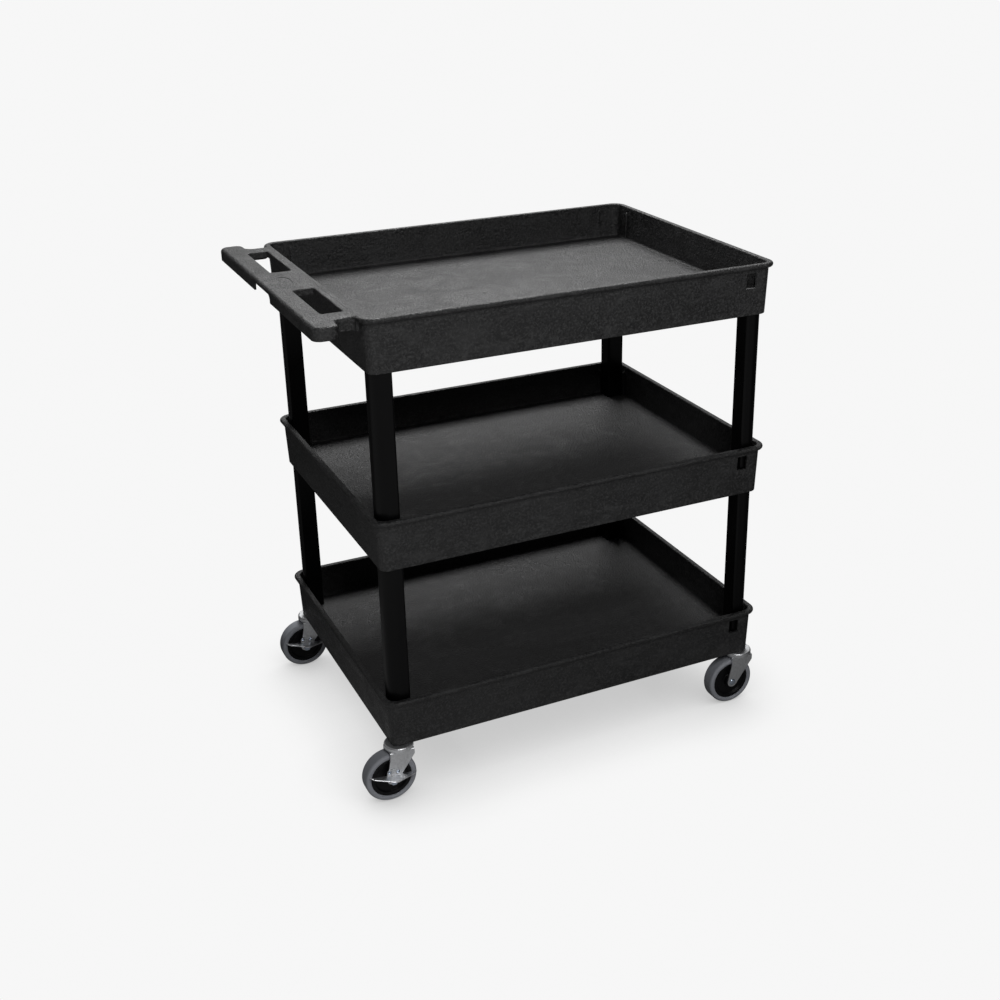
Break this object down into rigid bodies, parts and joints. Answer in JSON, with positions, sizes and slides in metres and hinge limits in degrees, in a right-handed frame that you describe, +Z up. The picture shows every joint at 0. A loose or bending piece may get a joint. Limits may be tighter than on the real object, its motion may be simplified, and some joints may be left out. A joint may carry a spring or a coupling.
{
  "type": "rolling utility cart",
  "caption": "Moulded tub-shelf utility cart on swivel casters, with hollow posts and a slotted push handle on the top shelf.",
  "frame": {"origin": "on the floor under the middle of the cart's overall box, with its casters trailing towards the handle", "axes": "+X along the cart away from the push handle, +Y across it, +Z up from the floor"},
  "size_m": [0.8958, 0.6294, 0.946],
  "materials": {
    "tub_plastic": "satin black moulded structural foam with a fine texture",
    "post_plastic": "black, lightly polished from the mould",
    "sleeve_plastic": "grey nylon",
    "wheel_core": "black moulded polyolefin",
    "tyre": "soft blue-grey thermoplastic rubber",
    "bearing_steel": "polished ball steel",
    "fastener_zinc": "bright blue-white zinc plate",
    "zinc_plate": "bright zinc plate on stamped steel"
  },
  "bodies": {
    "cart": {"top_shelf": "tub_plastic", "middle_shelf": "tub_plastic", "bottom_shelf": "tub_plastic", "upper_leg_front_left": "post_plastic", "upper_leg_back_left": "post_plastic", "upper_leg_front_right": "post_plastic", "upper_leg_back_right": "post_plastic", "lower_leg_front_left": "post_plastic", "lower_leg_back_left": "post_plastic", "lower_leg_front_right": "post_plastic", "lower_leg_back_right": "post_plastic", "stem_socket_front_left": "sleeve_plastic", "stem_socket_back_left": "sleeve_plastic", "stem_socket_front_right": "sleeve_plastic", "stem_socket_back_right": "sleeve_plastic", "stem_front_left": "zinc_plate", "stem_back_left": "zinc_plate", "stem_front_right": "zinc_plate", "stem_back_right": "zinc_plate", "upper_race_front_left": "zinc_plate", "upper_race_back_left": "zinc_plate", "upper_race_front_right": "zinc_plate", "upper_race_back_right": "zinc_plate"},
    "caster_front_left": {"ball_ring_front_left": "bearing_steel", "fork_front_left": "zinc_plate", "axle_bolt_front_left": "fastener_zinc", "axle_nut_front_left": "fastener_zinc", "hub_tube_front_left": "zinc_plate", "brake_washer_front_left": "zinc_plate"},
    "wheel_front_left": {"wheel_core_front_left": "wheel_core", "tyre_front_left": "tyre"},
    "brake_front_left": {"brake_pedal_front_left": "zinc_plate"},
    "caster_back_left": {"ball_ring_back_left": "bearing_steel", "fork_back_left": "zinc_plate", "axle_bolt_back_left": "fastener_zinc", "axle_nut_back_left": "fastener_zinc", "hub_tube_back_left": "zinc_plate", "brake_washer_back_left": "zinc_plate"},
    "wheel_back_left": {"wheel_core_back_left": "wheel_core", "tyre_back_left": "tyre"},
    "brake_back_left": {"brake_pedal_back_left": "zinc_plate"},
    "caster_front_right": {"ball_ring_front_right": "bearing_steel", "fork_front_right": "zinc_plate", "axle_bolt_front_right": "fastener_zinc", "axle_nut_front_right": "fastener_zinc", "hub_tube_front_right": "zinc_plate"},
    "wheel_front_right": {"wheel_core_front_right": "wheel_core", "tyre_front_right": "tyre"},
    "caster_back_right": {"ball_ring_back_right": "bearing_steel", "fork_back_right": "zinc_plate", "axle_bolt_back_right": "fastener_zinc", "axle_nut_back_right": "fastener_zinc", "hub_tube_back_right": "zinc_plate"},
    "wheel_back_right": {"wheel_core_back_right": "wheel_core", "tyre_back_right": "tyre"}
  },
  "joints": [
    {"name": "swivel_front_left", "type": "hinge", "parent": "cart", "child": "caster_front_left", "pos_m": [-0.3379, -0.27125, 0.11], "axis": [0, 0, 1], "continuous": true},
    {"name": "roll_front_left", "type": "hinge", "parent": "caster_front_left", "child": "wheel_front_left", "pos_m": [-0.3599, -0.27125, 0.0508], "axis": [0, 1, 0], "continuous": true},
    {"name": "brake_front_left", "type": "hinge", "parent": "caster_front_left", "child": "brake_front_left", "pos_m": [-0.3599, -0.27125, 0.0508], "axis": [0, -1, 0], "range_deg": [0, 12]},
    {"name": "swivel_back_left", "type": "hinge", "parent": "cart", "child": "caster_back_left", "pos_m": [-0.3379, 0.28275, 0.11], "axis": [0, 0, 1], "continuous": true},
    {"name": "roll_back_left", "type": "hinge", "parent": "caster_back_left", "child": "wheel_back_left", "pos_m": [-0.3599, 0.28275, 0.0508], "axis": [0, 1, 0], "continuous": true},
    {"name": "brake_back_left", "type": "hinge", "parent": "caster_back_left", "child": "brake_back_left", "pos_m": [-0.3599, 0.28275, 0.0508], "axis": [0, -1, 0], "range_deg": [0, 12]},
    {"name": "swivel_front_right", "type": "hinge", "parent": "cart", "child": "caster_front_right", "pos_m": [0.4191, -0.27125, 0.11], "axis": [0, 0, 1], "continuous": true},
    {"name": "roll_front_right", "type": "hinge", "parent": "caster_front_right", "child": "wheel_front_right", "pos_m": [0.3971, -0.27125, 0.0508], "axis": [0, 1, 0], "continuous": true},
    {"name": "swivel_back_right", "type": "hinge", "parent": "cart", "child": "caster_back_right", "pos_m": [0.4191, 0.28275, 0.11], "axis": [0, 0, 1], "continuous": true},
    {"name": "roll_back_right", "type": "hinge", "parent": "caster_back_right", "child": "wheel_back_right", "pos_m": [0.3971, 0.28275, 0.0508], "axis": [0, 1, 0], "continuous": true}
  ]
}
